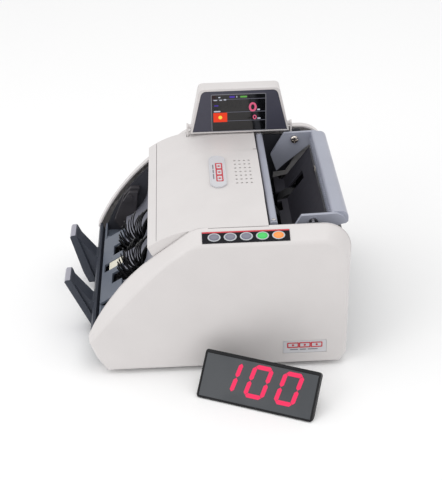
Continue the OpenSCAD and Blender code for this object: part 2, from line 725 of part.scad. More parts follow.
module screen() color(black) at_display() {
    along_x(display_face - 2.2, 1.6) translate([-screen_w / 2 - 0.8, -3.8])
        square([screen_w - 0.4, screen_h - 0.4]);
    along_x(display_face - 7.2, 5) translate([-screen_w / 2 - 4, -4.2]) square([screen_w + 8, screen_h + 3]);
}

module display_hinges() color(shell_white) {
    for (i = [0, 1]) along_y(ear_y[i], ear_t) {
        translate(display_pivot) circle(r = 3.6);
        translate([display_pivot.x - 2.2, 148]) square([5.8, display_pivot.y - 148]);
    }
    for (i = [0, 1]) box([-frame_x, ear_y[i], 138], [-frame_x + 7, ear_y[i] + ear_t, 149]);
    translate([display_pivot.x, ear_y[0] + ear_t + 6, display_pivot.y]) rotate([90, 0, 0])
        cylinder(h = 6, r = 2.5);
    translate([display_pivot.x, ear_y[1], display_pivot.y]) rotate([90, 0, 0]) cylinder(h = 6, r = 2.5);
}

// ---------- remote readout ----------

face_run = remote_face_h * sin(remote_lean);
face_rise = remote_face_h * cos(remote_lean);

// Local frame of the readout: width along Y, face towards +X
module at_remote() translate([remote_x, remote_y, 0]) rotate([0, 0, remote_yaw]) children();

// Frame on the face: X across the face thickness, Y width, Z up the slope
module on_face() translate([0, 0, 1.2]) rotate([0, -remote_lean, 0]) children();

// Slab behind the face, standing on a narrower foot
module remote_case() color([0.16, 0.16, 0.18]) at_remote() difference() {
    union() {
        intersection() {
            along_y(-remote_w / 2 - 1, remote_w + 2) polygon([[0, 0], [2, 0], [2, 1.2], [0, 1.2],
                [-face_run, face_rise + 1.2], [-face_run - 6.2, face_rise - 3.8], [-9.3, 0]]);
            on_face() along_x(-12, 12) polygon(concat(
                arc_pts([remote_w / 2 - 3, remote_face_h - 3], 3, 0, 90, 5),
                arc_pts([-remote_w / 2 + 3, remote_face_h - 3], 3, 90, 180, 5),
                arc_pts([-remote_w / 2 + 3, 3], 3, 180, 270, 5),
                arc_pts([remote_w / 2 - 3, 3], 3, 270, 360, 5)));
        }
        along_y(-44, 88) polygon([[-8.3, 0], [-8.3 - 29 * tan(remote_lean), 29],
            [-face_run - 6, 28], [-face_run - 4, 0]]);
    }
    on_face() box([-3.4, -remote_w / 2 + 1.8, 1.8], [2, remote_w / 2 - 1.8, remote_face_h - 3.2]);
    on_face() box([-5.8, -remote_w / 2 + 7.8, 6.8], [-3, remote_w / 2 - 7.8, remote_face_h - 5.2]);
    // cable socket in the back
    box([-face_run - 10, 30, 6], [-face_run + 6, 42, 16]);
}

module remote_window() color(black) at_remote() on_face()
    box([-2.4, -remote_w / 2 + 2, 2], [-0.4, remote_w / 2 - 2, remote_face_h - 3.4]);

digit_w = 22;
digit_h = 34;
module seven_segments() {
    for (k = [0, 1, 2]) translate([0, -digit_w / 2 + 3, k * (digit_h - 4) / 2 + 0.6]) cube([1, digit_w - 6, 3]);
    for (s = [-1, 1], k = [0, 1]) translate([0, s * (digit_w / 2 - 1.5) - 1.5, 3.8 + k * (digit_h / 2 - 2)])
        cube([1, 3, digit_h / 2 - 5]);
}
module remote_digits() color("crimson") at_remote() on_face() {
    box([-5.6, -remote_w / 2 + 8, 7], [-4, remote_w / 2 - 8, remote_face_h - 7]);
    for (i = [-1:1]) translate([-4, i * 30, 8.5]) seven_segments();
}

// ---------- all ----------

base_chassis();
rubber_feet();
side_frames();
side_panel_right();
side_panel_left();
top_cover();
rear_cover();
top_badge();
side_badge();
stacker_plate();
stacker_floor();
stacker_guide();
stacker_wall_brackets();
stacker_sensor_strip();
impeller_shaft();
impeller_wheels();
shaft_bearings();
stacker_motor();
stacker_motor_pulley();
stacker_belt();
hopper_front_rail();
hopper_tray();
hopper_floor();
hopper_side_guides();
tray_pivot_screws();
friction_block();
feed_shaft();
feed_rollers();
pickup_shaft();
pickup_rollers();
pickup_belt();
exit_shaft();
exit_rollers();
pinch_rollers();
main_motor();
main_motor_pulley();
main_belt();
note_path_plate();
sensor_bar();
main_board();
power_supply();
power_inlet();
switch_body();
power_rocker();
readout_socket();
speaker();
button_strip();
button_board();
button_1();
button_2();
button_3();
button_4();
button_5();
display_housing();
display_panel();
screen();
display_hinges();
remote_case();
remote_window();
remote_digits();
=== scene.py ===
"""Looks of a banknote counter and its remote readout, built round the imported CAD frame.

Sizes in the classes are millimetres, in the frame of the CAD: the origin is on the table under
the middle of the machine, +Z up, -Y towards the stacker and +X towards the button strip.
"""

from __future__ import annotations

import json
import logging
import math
from dataclasses import dataclass
from enum import Enum
from typing import Callable, Sequence

import bpy
from mathutils import Matrix, Vector

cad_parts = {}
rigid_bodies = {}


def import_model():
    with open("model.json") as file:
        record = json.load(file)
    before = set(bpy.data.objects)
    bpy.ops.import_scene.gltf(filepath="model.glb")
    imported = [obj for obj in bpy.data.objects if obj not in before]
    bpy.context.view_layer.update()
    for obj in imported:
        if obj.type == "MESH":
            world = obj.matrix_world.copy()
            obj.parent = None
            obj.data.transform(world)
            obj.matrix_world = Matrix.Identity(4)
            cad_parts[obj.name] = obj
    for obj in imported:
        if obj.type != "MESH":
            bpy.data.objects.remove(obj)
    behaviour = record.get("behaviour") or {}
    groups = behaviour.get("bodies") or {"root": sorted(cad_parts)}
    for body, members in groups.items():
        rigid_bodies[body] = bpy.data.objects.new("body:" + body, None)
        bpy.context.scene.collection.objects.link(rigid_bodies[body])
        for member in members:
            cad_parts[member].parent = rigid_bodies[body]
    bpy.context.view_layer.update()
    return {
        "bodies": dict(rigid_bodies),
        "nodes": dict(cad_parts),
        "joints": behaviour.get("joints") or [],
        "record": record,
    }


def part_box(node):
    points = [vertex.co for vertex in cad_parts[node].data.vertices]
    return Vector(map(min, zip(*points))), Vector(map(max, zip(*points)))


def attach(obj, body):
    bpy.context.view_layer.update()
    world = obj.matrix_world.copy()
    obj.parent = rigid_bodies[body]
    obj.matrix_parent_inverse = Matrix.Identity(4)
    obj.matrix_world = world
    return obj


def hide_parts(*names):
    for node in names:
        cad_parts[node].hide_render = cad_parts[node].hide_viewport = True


LOG = logging.getLogger("banknote_counter")
MM = 0.001

Point = tuple[float, float]
Weigh = Callable[[Vector, Vector], float]


def srgb(red: float, green: float, blue: float) -> tuple[float, float, float, float]:
    """A colour given as 0 to 255 display values, as the linear colour a shader takes."""
    parts = [
        c / 255 / 12.92 if c / 255 <= 0.04045 else ((c / 255 + 0.055) / 1.055) ** 2.4
        for c in (red, green, blue)
    ]
    return (parts[0], parts[1], parts[2], 1.0)


def select_only(piece: bpy.types.Object) -> None:
    """Makes one object the only selected and active one."""
    bpy.ops.object.select_all(action="DESELECT")
    piece.select_set(True)
    bpy.context.view_layer.objects.active = piece


def apply_modifiers(piece: bpy.types.Object) -> None:
    """Applies every modifier of a piece, in order."""
    select_only(piece)
    for modifier in list(piece.modifiers):
        bpy.ops.object.modifier_apply(modifier=modifier.name)


def settle(piece: bpy.types.Object, place: Matrix) -> None:
    """Puts a piece's place into its mesh, so that its object sits at the origin.

    Args:
        piece: The mesh object, modelled in metres about its own origin.
        place: Where that origin goes in the row frame.
    """
    piece.data.transform(place @ piece.matrix_basis)
    piece.matrix_basis = Matrix.Identity(4)
    piece.data.update()


def smooth(piece: bpy.types.Object, degrees: float = 35.0) -> None:
    """Shades a piece smooth up to an angle, with normals that keep its flats flat."""
    select_only(piece)
    bpy.ops.object.shade_smooth_by_angle(angle=math.radians(degrees))
    weighted = piece.modifiers.new("weighted", "WEIGHTED_NORMAL")
    weighted.keep_sharp = True
    weighted.weight = 80
    apply_modifiers(piece)


def at(x: float, y: float, z: float) -> Matrix:
    """A move by a vector in millimetres."""
    return Matrix.Translation((x * MM, y * MM, z * MM))


def turn(degrees: float, axis: str) -> Matrix:
    """A turn about one axis through the origin."""
    return Matrix.Rotation(math.radians(degrees), 4, axis)


def arc(centre: Point, radius: float, start: float, end: float, steps: int = 8) -> list[Point]:
    """Points of an arc, from a start angle to an end angle in degrees."""
    angles = [math.radians(start + (end - start) * i / steps) for i in range(steps + 1)]
    return [(centre[0] + radius * math.cos(a), centre[1] + radius * math.sin(a)) for a in angles]


def round_rect(width: float, height: float, radius: float, steps: int = 5) -> list[Point]:
    """The outline of a rectangle with round corners, centred on the origin."""
    x, y = width / 2 - radius, height / 2 - radius
    return (
        arc((x, y), radius, 0, 90, steps)
        + arc((-x, y), radius, 90, 180, steps)
        + arc((-x, -y), radius, 180, 270, steps)
        + arc((x, -y), radius, 270, 360, steps)
    )


class Surface(Enum):
    """The kinds of surface that a finish can have."""

    MOULDED = "moulded"
    BRUSHED = "brushed"
    RUBBER = "rubber"
    GLOSS = "gloss"
    GLOW = "glow"
    BOARD = "board"


@dataclass(frozen=True)
class Finish:
    """One finish: its colour, its kind of surface and how strongly it varies.

    Attributes:
        slot: The record's material slot, or a name of its own. It is also the material's name.
        colour: Display colour, 0 to 255.
        surface: Kind of surface.
        roughness: Mean roughness.
        metallic: 0 or 1.
        grain: Size of the surface grain in millimetres.
        depth: Height of the grain in millimetres.
        drift: Share by which the colour wanders over the surface.
        coat: Weight of a clear coat.
        glow: Emission strength.
        specular: Strength of the plain reflection, against 0.5 for plastic.
    """

    slot: str
    colour: tuple[int, int, int]
    surface: Surface = Surface.MOULDED
    roughness: float = 0.5
    metallic: float = 0.0
    grain: float = 0.7
    depth: float = 0.02
    drift: float = 0.04
    coat: float = 0.0
    glow: float = 0.0
    specular: float = 0.5


FINISHES = (
    Finish("shell_white", (215, 211, 210), roughness=0.42, grain=0.9, depth=0.012, drift=0.025),
    Finish("dark_shell", (38, 38, 42), roughness=0.6),
    Finish("steel_dark", (52, 53, 60), Surface.BRUSHED, 0.5, grain=0.5),
    Finish("steel", (190, 190, 195), Surface.BRUSHED, 0.28, 1.0, grain=0.3, depth=0.006),
    Finish("motor_steel", (165, 168, 175), Surface.BRUSHED, 0.35, 1.0),
    Finish("stacker_grey", (158, 157, 168), roughness=0.4, coat=0.1),
    Finish("floor_slate", (96, 103, 116), Surface.BRUSHED, 0.42, grain=0.4),
    Finish("guide_grey", (126, 127, 138), roughness=0.4),
    Finish("rail_grey", (160, 163, 176), roughness=0.36, coat=0.15),
    Finish("hopper_dark", (46, 45, 52), roughness=0.5),
    Finish("black_plastic", (22, 22, 25), roughness=0.45),
    Finish("impeller_rubber", (16, 16, 18), Surface.RUBBER, 0.42, grain=0.4),
    Finish("roller_rubber", (28, 28, 30), Surface.RUBBER, 0.7),
    Finish("belt_rubber", (20, 20, 22), Surface.RUBBER, 0.65),
    Finish("board_green", (28, 74, 48), Surface.BOARD, 0.4, grain=1.4),
    Finish("sensor_cream", (226, 222, 205), roughness=0.35),
    Finish("badge_silver", (206, 206, 210), Surface.BRUSHED, 0.3, grain=0.25, depth=0.005),
    Finish("strip_black", (20, 20, 26), Surface.GLOSS, 0.5, specular=0.15),
    Finish("key_grey", (112, 112, 128), Surface.GLOSS, 0.3, coat=0.5),
    Finish("key_green", (48, 196, 86), Surface.GLOSS, 0.3, coat=0.5),
    Finish("key_orange", (248, 146, 58), Surface.GLOSS, 0.3, coat=0.5),
    Finish("rocker_black", (18, 18, 20), Surface.GLOSS, 0.3),
    Finish("panel_slate", (66, 66, 79), roughness=0.38),
    Finish("screen_glass", (9, 10, 13), Surface.GLOSS, 0.12, coat=0.6, drift=0.02),
    Finish("remote_grey", (22, 22, 25), roughness=0.5, specular=0.25),
    Finish("remote_glass", (64, 67, 71), Surface.GLOSS, 0.32, drift=0.08, specular=0.35),
    Finish("led_red", (255, 60, 106), Surface.GLOW, 0.5, glow=1.0, specular=0.1),
)

# Finishes of marks and second tones, and the painted shade of the stacker plate, which have no slot of
# their own in the record.
MARKS = (
    Finish("mark_red", (196, 44, 58), roughness=0.35),
    Finish("mark_grey", (120, 120, 128), roughness=0.4),
    Finish("mark_rim", (186, 190, 194), roughness=0.35),
    # Painted shade: a darker grey that the stacker plate's back faces, prong webs and low wall take in
    # place of shade.
    Finish("plate_shadow", (64, 68, 78), roughness=0.5, specular=0.3),
    Finish("wall_slate", (60, 58, 62), roughness=0.5, specular=0.3),
    Finish("guide_steel", (170, 168, 168), Surface.BRUSHED, 0.4, grain=0.6, drift=0.12),
    Finish("picture_line", (104, 104, 116), Surface.GLOW, 0.4, glow=0.9, specular=0.1),
    Finish("picture_white", (196, 200, 214), Surface.GLOW, 0.4, glow=0.9, specular=0.1),
    Finish("picture_pink", (216, 96, 130), Surface.GLOW, 0.4, glow=1.0, specular=0.1),
    Finish("picture_violet", (84, 64, 170), Surface.GLOW, 0.4, glow=0.9, specular=0.1),
    Finish("picture_green", (104, 176, 84), Surface.GLOW, 0.4, glow=0.9, specular=0.1),
    Finish("picture_red", (232, 66, 40), Surface.GLOW, 0.4, glow=1.0, specular=0.1),
    Finish("picture_yellow", (246, 216, 84), Surface.GLOW, 0.4, glow=1.0, specular=0.1),
    Finish("chrome", (214, 206, 198), Surface.BRUSHED, 0.16, 1.0, grain=0.3, depth=0.003),
)


class Effects:
    """Shader node groups that the finishes share."""

    KINDS = {"Vector": "NodeSocketVector", "Colour": "NodeSocketColor"}

    def __init__(self) -> None:
        """Builds each group once."""
        self.drift = self._drift()
        self.grain = self._grain()
        self.scuff = self._scuff()

    def _start(self, name: str, inputs: dict[str, float | None], outputs: Sequence[str]):
        """Makes an empty group.

        Args:
            name: Name of the group.
            inputs: Start value by input name, or None for a vector or a colour.
            outputs: Names of its outputs.

        Returns:
            The tree, its input node and its output node.
        """
        tree = bpy.data.node_groups.new(name, "ShaderNodeTree")
        for label, value in inputs.items():
            kind = self.KINDS.get(label, "NodeSocketFloat")
            socket = tree.interface.new_socket(name=label, in_out="INPUT", socket_type=kind)
            if value is not None:
                socket.default_value = value
        for label in outputs:
            kind = self.KINDS.get(label, "NodeSocketFloat")
            tree.interface.new_socket(name=label, in_out="OUTPUT", socket_type=kind)
        return tree, tree.nodes.new("NodeGroupInput"), tree.nodes.new("NodeGroupOutput")

    @staticmethod
    def _noise(tree: bpy.types.NodeTree, inner: bpy.types.Node, detail: float) -> bpy.types.Node:
        """A noise that takes the group's Vector and Scale."""
        noise = tree.nodes.new("ShaderNodeTexNoise")
        noise.inputs["Detail"].default_value = detail
        for label in ("Vector", "Scale"):
            tree.links.new(inner.outputs[label], noise.inputs[label])
        return noise

    @staticmethod
    def _maths(tree: bpy.types.NodeTree, operation: str, *values) -> bpy.types.Node:
        """A maths node whose inputs are linked or set, in order."""
        node = tree.nodes.new("ShaderNodeMath")
        node.operation = operation
        for socket, value in zip(node.inputs, values):
            if isinstance(value, bpy.types.NodeSocket):
                tree.links.new(value, socket)
            else:
                socket.default_value = value
        return node

    def _drift(self) -> bpy.types.NodeTree:
        """Colour that wanders slowly between a little darker and a little lighter."""
        inputs = {"Vector": None, "Colour": None, "Scale": 20, "Amount": 0.04}
        tree, inner, outer = self._start("colour_drift", inputs, ["Colour"])
        noise = self._noise(tree, inner, 3)
        centred = self._maths(tree, "SUBTRACT", noise.outputs[0], 0.5)
        swing = self._maths(tree, "MULTIPLY_ADD", centred.outputs[0], inner.outputs["Amount"], 1.0)
        tint = tree.nodes.new("ShaderNodeVectorMath")
        tint.operation = "SCALE"
        tree.links.new(inner.outputs["Colour"], tint.inputs[0])
        tree.links.new(swing.outputs[0], tint.inputs["Scale"])
        tree.links.new(tint.outputs[0], outer.inputs["Colour"])
        return tree

    def _grain(self) -> bpy.types.NodeTree:
        """Fine grain: a height for bump and a roughness that follows it."""
        inputs = {"Vector": None, "Scale": 1400, "Roughness": 0.5, "Spread": 0.1}
        tree, inner, outer = self._start("surface_grain", inputs, ["Roughness", "Height"])
        noise = self._noise(tree, inner, 4)
        noise.inputs["Roughness"].default_value = 0.6
        centred = self._maths(tree, "SUBTRACT", noise.outputs[0], 0.5)
        terms = (centred.outputs[0], inner.outputs["Spread"], inner.outputs["Roughness"])
        spread = self._maths(tree, "MULTIPLY_ADD", *terms)
        tree.links.new(spread.outputs[0], outer.inputs["Roughness"])
        tree.links.new(noise.outputs[0], outer.inputs["Height"])
        return tree

    def _scuff(self) -> bpy.types.NodeTree:
        """Broad handling marks: a value that adds to roughness where hands and notes rub."""
        inputs = {"Vector": None, "Scale": 30, "Roughness": 0.5, "Amount": 0.1}
        tree, inner, outer = self._start("handling_marks", inputs, ["Roughness"])
        noise = self._noise(tree, inner, 6)
        noise.inputs["Distortion"].default_value = 0.8
        patch = tree.nodes.new("ShaderNodeMapRange")
        patch.inputs["From Min"].default_value = 0.48
        patch.inputs["From Max"].default_value = 0.72
        tree.links.new(noise.outputs[0], patch.inputs["Value"])
        terms = (patch.outputs["Result"], inner.outputs["Amount"], inner.outputs["Roughness"])
        add = self._maths(tree, "MULTIPLY_ADD", *terms)
        add.use_clamp = True
        tree.links.new(add.outputs[0], outer.inputs["Roughness"])
        return tree


class Paint:
    """Makes each finish's material once and hands it out by name."""

    STRETCH = {Surface.BRUSHED: (0.04, 1.0, 1.0)}
    SPREAD = {Surface.MOULDED: 0.14, Surface.RUBBER: 0.2, Surface.BRUSHED: 0.22}
    PLAIN_SPREAD = 0.08
    DRIFT_SCALE = 24.0
    BOARD_SCALE = 260.0
    SCUFF = 0.12
    UNLIT = (4, 4, 4)

    def __init__(self, finishes: Sequence[Finish]) -> None:
        """Builds the effects and every material."""
        self.effects = Effects()
        self.made = {finish.slot: self._material(finish) for finish in finishes}

    def __getitem__(self, name: str) -> bpy.types.Material:
        """The material of one finish."""
        return self.made[name]

    @staticmethod
    def _group(tree: bpy.types.NodeTree, effect: bpy.types.NodeTree, vector, **values) -> bpy.types.Node:
        """Places a shared group in a material, fed by a vector."""
        node = tree.nodes.new("ShaderNodeGroup")
        node.node_tree = effect
        for label, value in values.items():
            node.inputs[label].default_value = value
        tree.links.new(vector, node.inputs["Vector"])
        return node

    def _material(self, finish: Finish) -> bpy.types.Material:
        """Builds the material of a finish.

        Args:
            finish: What the material shows.

        Returns:
            The material, with its varying parts wired to one Principled shader.
        """
        material = bpy.data.materials.new(finish.slot)
        material.use_nodes = True
        tree = material.node_tree
        link = tree.links.new
        shader = next(n for n in tree.nodes if n.type == "BSDF_PRINCIPLED")
        place = tree.nodes.new("ShaderNodeTexCoord")
        mapping = tree.nodes.new("ShaderNodeMapping")
        mapping.inputs["Scale"].default_value = self.STRETCH.get(finish.surface, (1.0, 1.0, 1.0))
        link(place.outputs["Object"], mapping.inputs["Vector"])

        lit = finish.surface is Surface.GLOW
        on_board = finish.surface is Surface.BOARD
        drift = self._group(
            tree, self.effects.drift, place.outputs["Object"],
            Colour=srgb(*(self.UNLIT if lit else finish.colour)),
            Scale=self.BOARD_SCALE if on_board else self.DRIFT_SCALE,
            Amount=4 * finish.drift,
        )
        link(drift.outputs["Colour"], shader.inputs["Base Color"])
        grain = self._group(
            tree, self.effects.grain, mapping.outputs["Vector"],
            Scale=1 / (finish.grain * MM),
            Roughness=finish.roughness,
            Spread=self.SPREAD.get(finish.surface, self.PLAIN_SPREAD),
        )
        scuff = self._group(tree, self.effects.scuff, place.outputs["Object"], Amount=self.SCUFF)
        link(grain.outputs["Roughness"], scuff.inputs["Roughness"])
        link(scuff.outputs["Roughness"], shader.inputs["Roughness"])

        bump = tree.nodes.new("ShaderNodeBump")
        bump.inputs["Strength"].default_value = 0.6
        bump.inputs["Distance"].default_value = finish.depth * MM
        link(grain.outputs["Height"], bump.inputs["Height"])
        link(bump.outputs["Normal"], shader.inputs["Normal"])

        shader.inputs["Metallic"].default_value = finish.metallic
        shader.inputs["Coat Weight"].default_value = finish.coat
        shader.inputs["Coat Roughness"].default_value = 0.08
        shader.inputs["Specular IOR Level"].default_value = finish.specular
        if lit:
            shader.inputs["Emission Color"].default_value = srgb(*finish.colour)
            shader.inputs["Emission Strength"].default_value = finish.glow
        return material


@dataclass
class Workshop:
    """What every sub-assembly uses to make, dress and place its pieces."""

    frame: dict
    paint: Paint

    def dress(self, slot: str, *nodes: str) -> None:
        """Gives CAD nodes that stay as they are their finish."""
        for node in nodes:
            carried = self.frame["nodes"][node]
            carried.data.materials.clear()
            carried.data.materials.append(self.paint[slot])

    def hand_over(
        self,
        piece: bpy.types.Object,
        body: str,
        finish: str,
        slot: str = "",
        replaces: Sequence[str] = (),
    ) -> bpy.types.Object:
        """Gives a new piece its finish, its body and what it stands for.

        Args:
            piece: The finished mesh.
            body: The CAD body it moves with.
            finish: Name of its finish.
            slot: The record's slot, where that isn't the finish's own name. Not used.
            replaces: CAD nodes that it stands for.

        Returns:
            The piece.
        """
        if not piece.data.materials:
            piece.data.materials.append(self.paint[finish])
        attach(piece, body)
        if replaces:
            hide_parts(*replaces)
        LOG.info("%s: %d faces on %s", piece.name, len(piece.data.polygons), body)
        return piece

    def copy_node(self, node: str, name: str) -> bpy.types.Object:
        """A copy of a CAD node's mesh with its triangles joined into faces."""
        mesh = self.frame["nodes"][node].data.copy()
        mesh.name = name
        mesh.materials.clear()
        piece = bpy.data.objects.new(name, mesh)
        bpy.context.scene.collection.objects.link(piece)
        select_only(piece)
        if mesh.has_custom_normals:
            bpy.ops.mesh.customdata_custom_splitnormals_clear()
        bpy.ops.object.mode_set(mode="EDIT")
        bpy.ops.mesh.select_all(action="SELECT")
        bpy.ops.mesh.remove_doubles(threshold=0.002 * MM)
        bpy.ops.mesh.dissolve_limited(angle_limit=math.radians(0.4))
        bpy.ops.object.mode_set(mode="OBJECT")
        return piece

    def soften(
        self,
        node: str,
        finish: str,
        body: str,
        width: float = 0.4,
        weigh: Weigh | None = None,
        segments: int = 2,
        limit: float = 32.0,
        clamp: bool = True,
        slot: str = "",
    ) -> bpy.types.Object:
        """Stands a copy with rounded edges in for a CAD node.

        Args:
            node: The CAD node.
            finish: Name of its finish.
            body: The CAD body it moves with.
            width: Width of the rounding in millimetres.
            weigh: Share of that width for an edge, from its two ends in millimetres. Without it,
                every edge sharper than the limit is rounded.
            segments: Steps of the rounding.
            limit: Sharpness from which edges are rounded, in degrees.
            clamp: Whether roundings may not run into each other.
            slot: The record's slot, where that isn't the finish's own name.

        Returns:
            The new piece.
        """
        piece = self.copy_node(node, f"{node}_soft")
        bevel = piece.modifiers.new("rounding", "BEVEL")
        bevel.width = width * MM
        bevel.segments = segments
        bevel.use_clamp_overlap = clamp
        if weigh is None:
            bevel.limit_method = "ANGLE"
            bevel.angle_limit = math.radians(limit)
        else:
            bevel.limit_method = "WEIGHT"
            mesh = piece.data
            sharp = self._sharp_edges(mesh, limit)
            layer = mesh.attributes.new("bevel_weight_edge", "FLOAT", "EDGE")
            for edge in mesh.edges:
                ends = [mesh.vertices[i].co / MM for i in edge.vertices]
                layer.data[edge.index].value = weigh(*ends) if edge.index in sharp else 0.0
        apply_modifiers(piece)
        smooth(piece)
        return self.hand_over(piece, body, finish, slot, replaces=[node])

    @staticmethod
    def _sharp_edges(mesh: bpy.types.Mesh, limit: float) -> set[int]:
        """Indices of the edges whose two faces turn by more than a limit in degrees."""
        normals: dict[tuple[int, int], list[Vector]] = {}
        for face in mesh.polygons:
            for key in face.edge_keys:
                normals.setdefault(tuple(sorted(key)), []).append(face.normal)
        lowest = math.cos(math.radians(limit))
        return {
            edge.index
            for edge in mesh.edges
            if len(found := normals.get(tuple(sorted(edge.vertices)), [])) == 2
            and found[0].dot(found[1]) < lowest
        }

    def plate(
        self,
        name: str,
        loops: Sequence[Sequence[Point]],
        thickness: float,
        place: Matrix,
        edge: float = 0.0,
        steps: int = 1,
    ) -> bpy.types.Object:
        """A flat plate cut to outlines, with a rounded edge.

        Args:
            name: Name of the piece.
            loops: Its outlines in millimetres. One inside another is a hole.
            thickness: Its thickness, upwards from local Z 0.
            place: Where its local frame goes.
            edge: Radius of its edges.
            steps: Steps of that radius.

        Returns:
            The plate, whose mesh is closed.
        """
        curve = bpy.data.curves.new(name, "CURVE")
        curve.dimensions = "2D"
        curve.fill_mode = "BOTH"
        curve.extrude = (thickness / 2 - edge) * MM
        curve.bevel_depth = edge * MM
        curve.bevel_resolution = steps
        curve.offset = -edge * MM
        for loop in loops:
            spline = curve.splines.new("POLY")
            spline.points.add(len(loop) - 1)
            for point, (x, y) in zip(spline.points, loop):
                point.co = (x * MM, y * MM, 0, 1)
            spline.use_cyclic_u = True
        piece = bpy.data.objects.new(name, curve)
        bpy.context.scene.collection.objects.link(piece)
        select_only(piece)
        bpy.ops.object.convert(target="MESH")
        piece = bpy.context.object
        bpy.ops.object.mode_set(mode="EDIT")
        bpy.ops.mesh.select_all(action="SELECT")
        bpy.ops.mesh.remove_doubles(threshold=0.002 * MM)
        bpy.ops.mesh.normals_make_consistent(inside=False)
        bpy.ops.object.mode_set(mode="OBJECT")
        settle(piece, place @ at(0, 0, thickness / 2))
        smooth(piece, 40)
        return piece

    def join(self, name: str, pieces: Sequence[bpy.types.Object]) -> bpy.types.Object:
        """Joins several meshes into one piece."""
        bpy.ops.object.select_all(action="DESELECT")
        for piece in pieces:
            piece.select_set(True)
        bpy.context.view_layer.objects.active = pieces[0]
        if len(pieces) > 1:
            bpy.ops.object.join()
        joined = bpy.context.object
        joined.name = name
        joined.data.name = name
        return joined

    def dome(
        self,
        name: str,
        size: Point,
        rings: Sequence[tuple[float, float]],
        place: Matrix,
        sides: int = 40,
    ) -> bpy.types.Object:
        """A round or oval form raised ring by ring from a disc.

        Args:
            name: Name of the piece.
            size: Its two widths.
            rings: Inset and rise of each ring above the one before, as shares of half the
                larger width and in millimetres.
            place: Where its foot's centre goes.
            sides: Corners of the first disc.

        Returns:
            The closed form.
        """
        radius = max(size) / 2
        bpy.ops.object.select_all(action="DESELECT")
        bpy.ops.mesh.primitive_circle_add(vertices=sides, radius=radius * MM, fill_type="NGON")
        piece = bpy.context.object
        piece.name = name
        bpy.ops.object.mode_set(mode="EDIT")
        bpy.ops.mesh.select_all(action="SELECT")
        current = 1.0
        for share, rise in rings:
            bpy.ops.mesh.extrude_region_move(TRANSFORM_OT_translate={"value": (0, 0, rise * MM)})
            factor = share / current
            bpy.ops.transform.resize(value=(factor, factor, 1), center_override=(0, 0, 0))
            current = share
        bpy.ops.mesh.select_all(action="SELECT")
        bpy.ops.mesh.normals_make_consistent(inside=False)
        bpy.ops.object.mode_set(mode="OBJECT")
        stretch = Matrix.Diagonal((size[0] / 2 / radius, size[1] / 2 / radius, 1, 1))
        settle(piece, place @ stretch)
        smooth(piece, 50)
        return piece


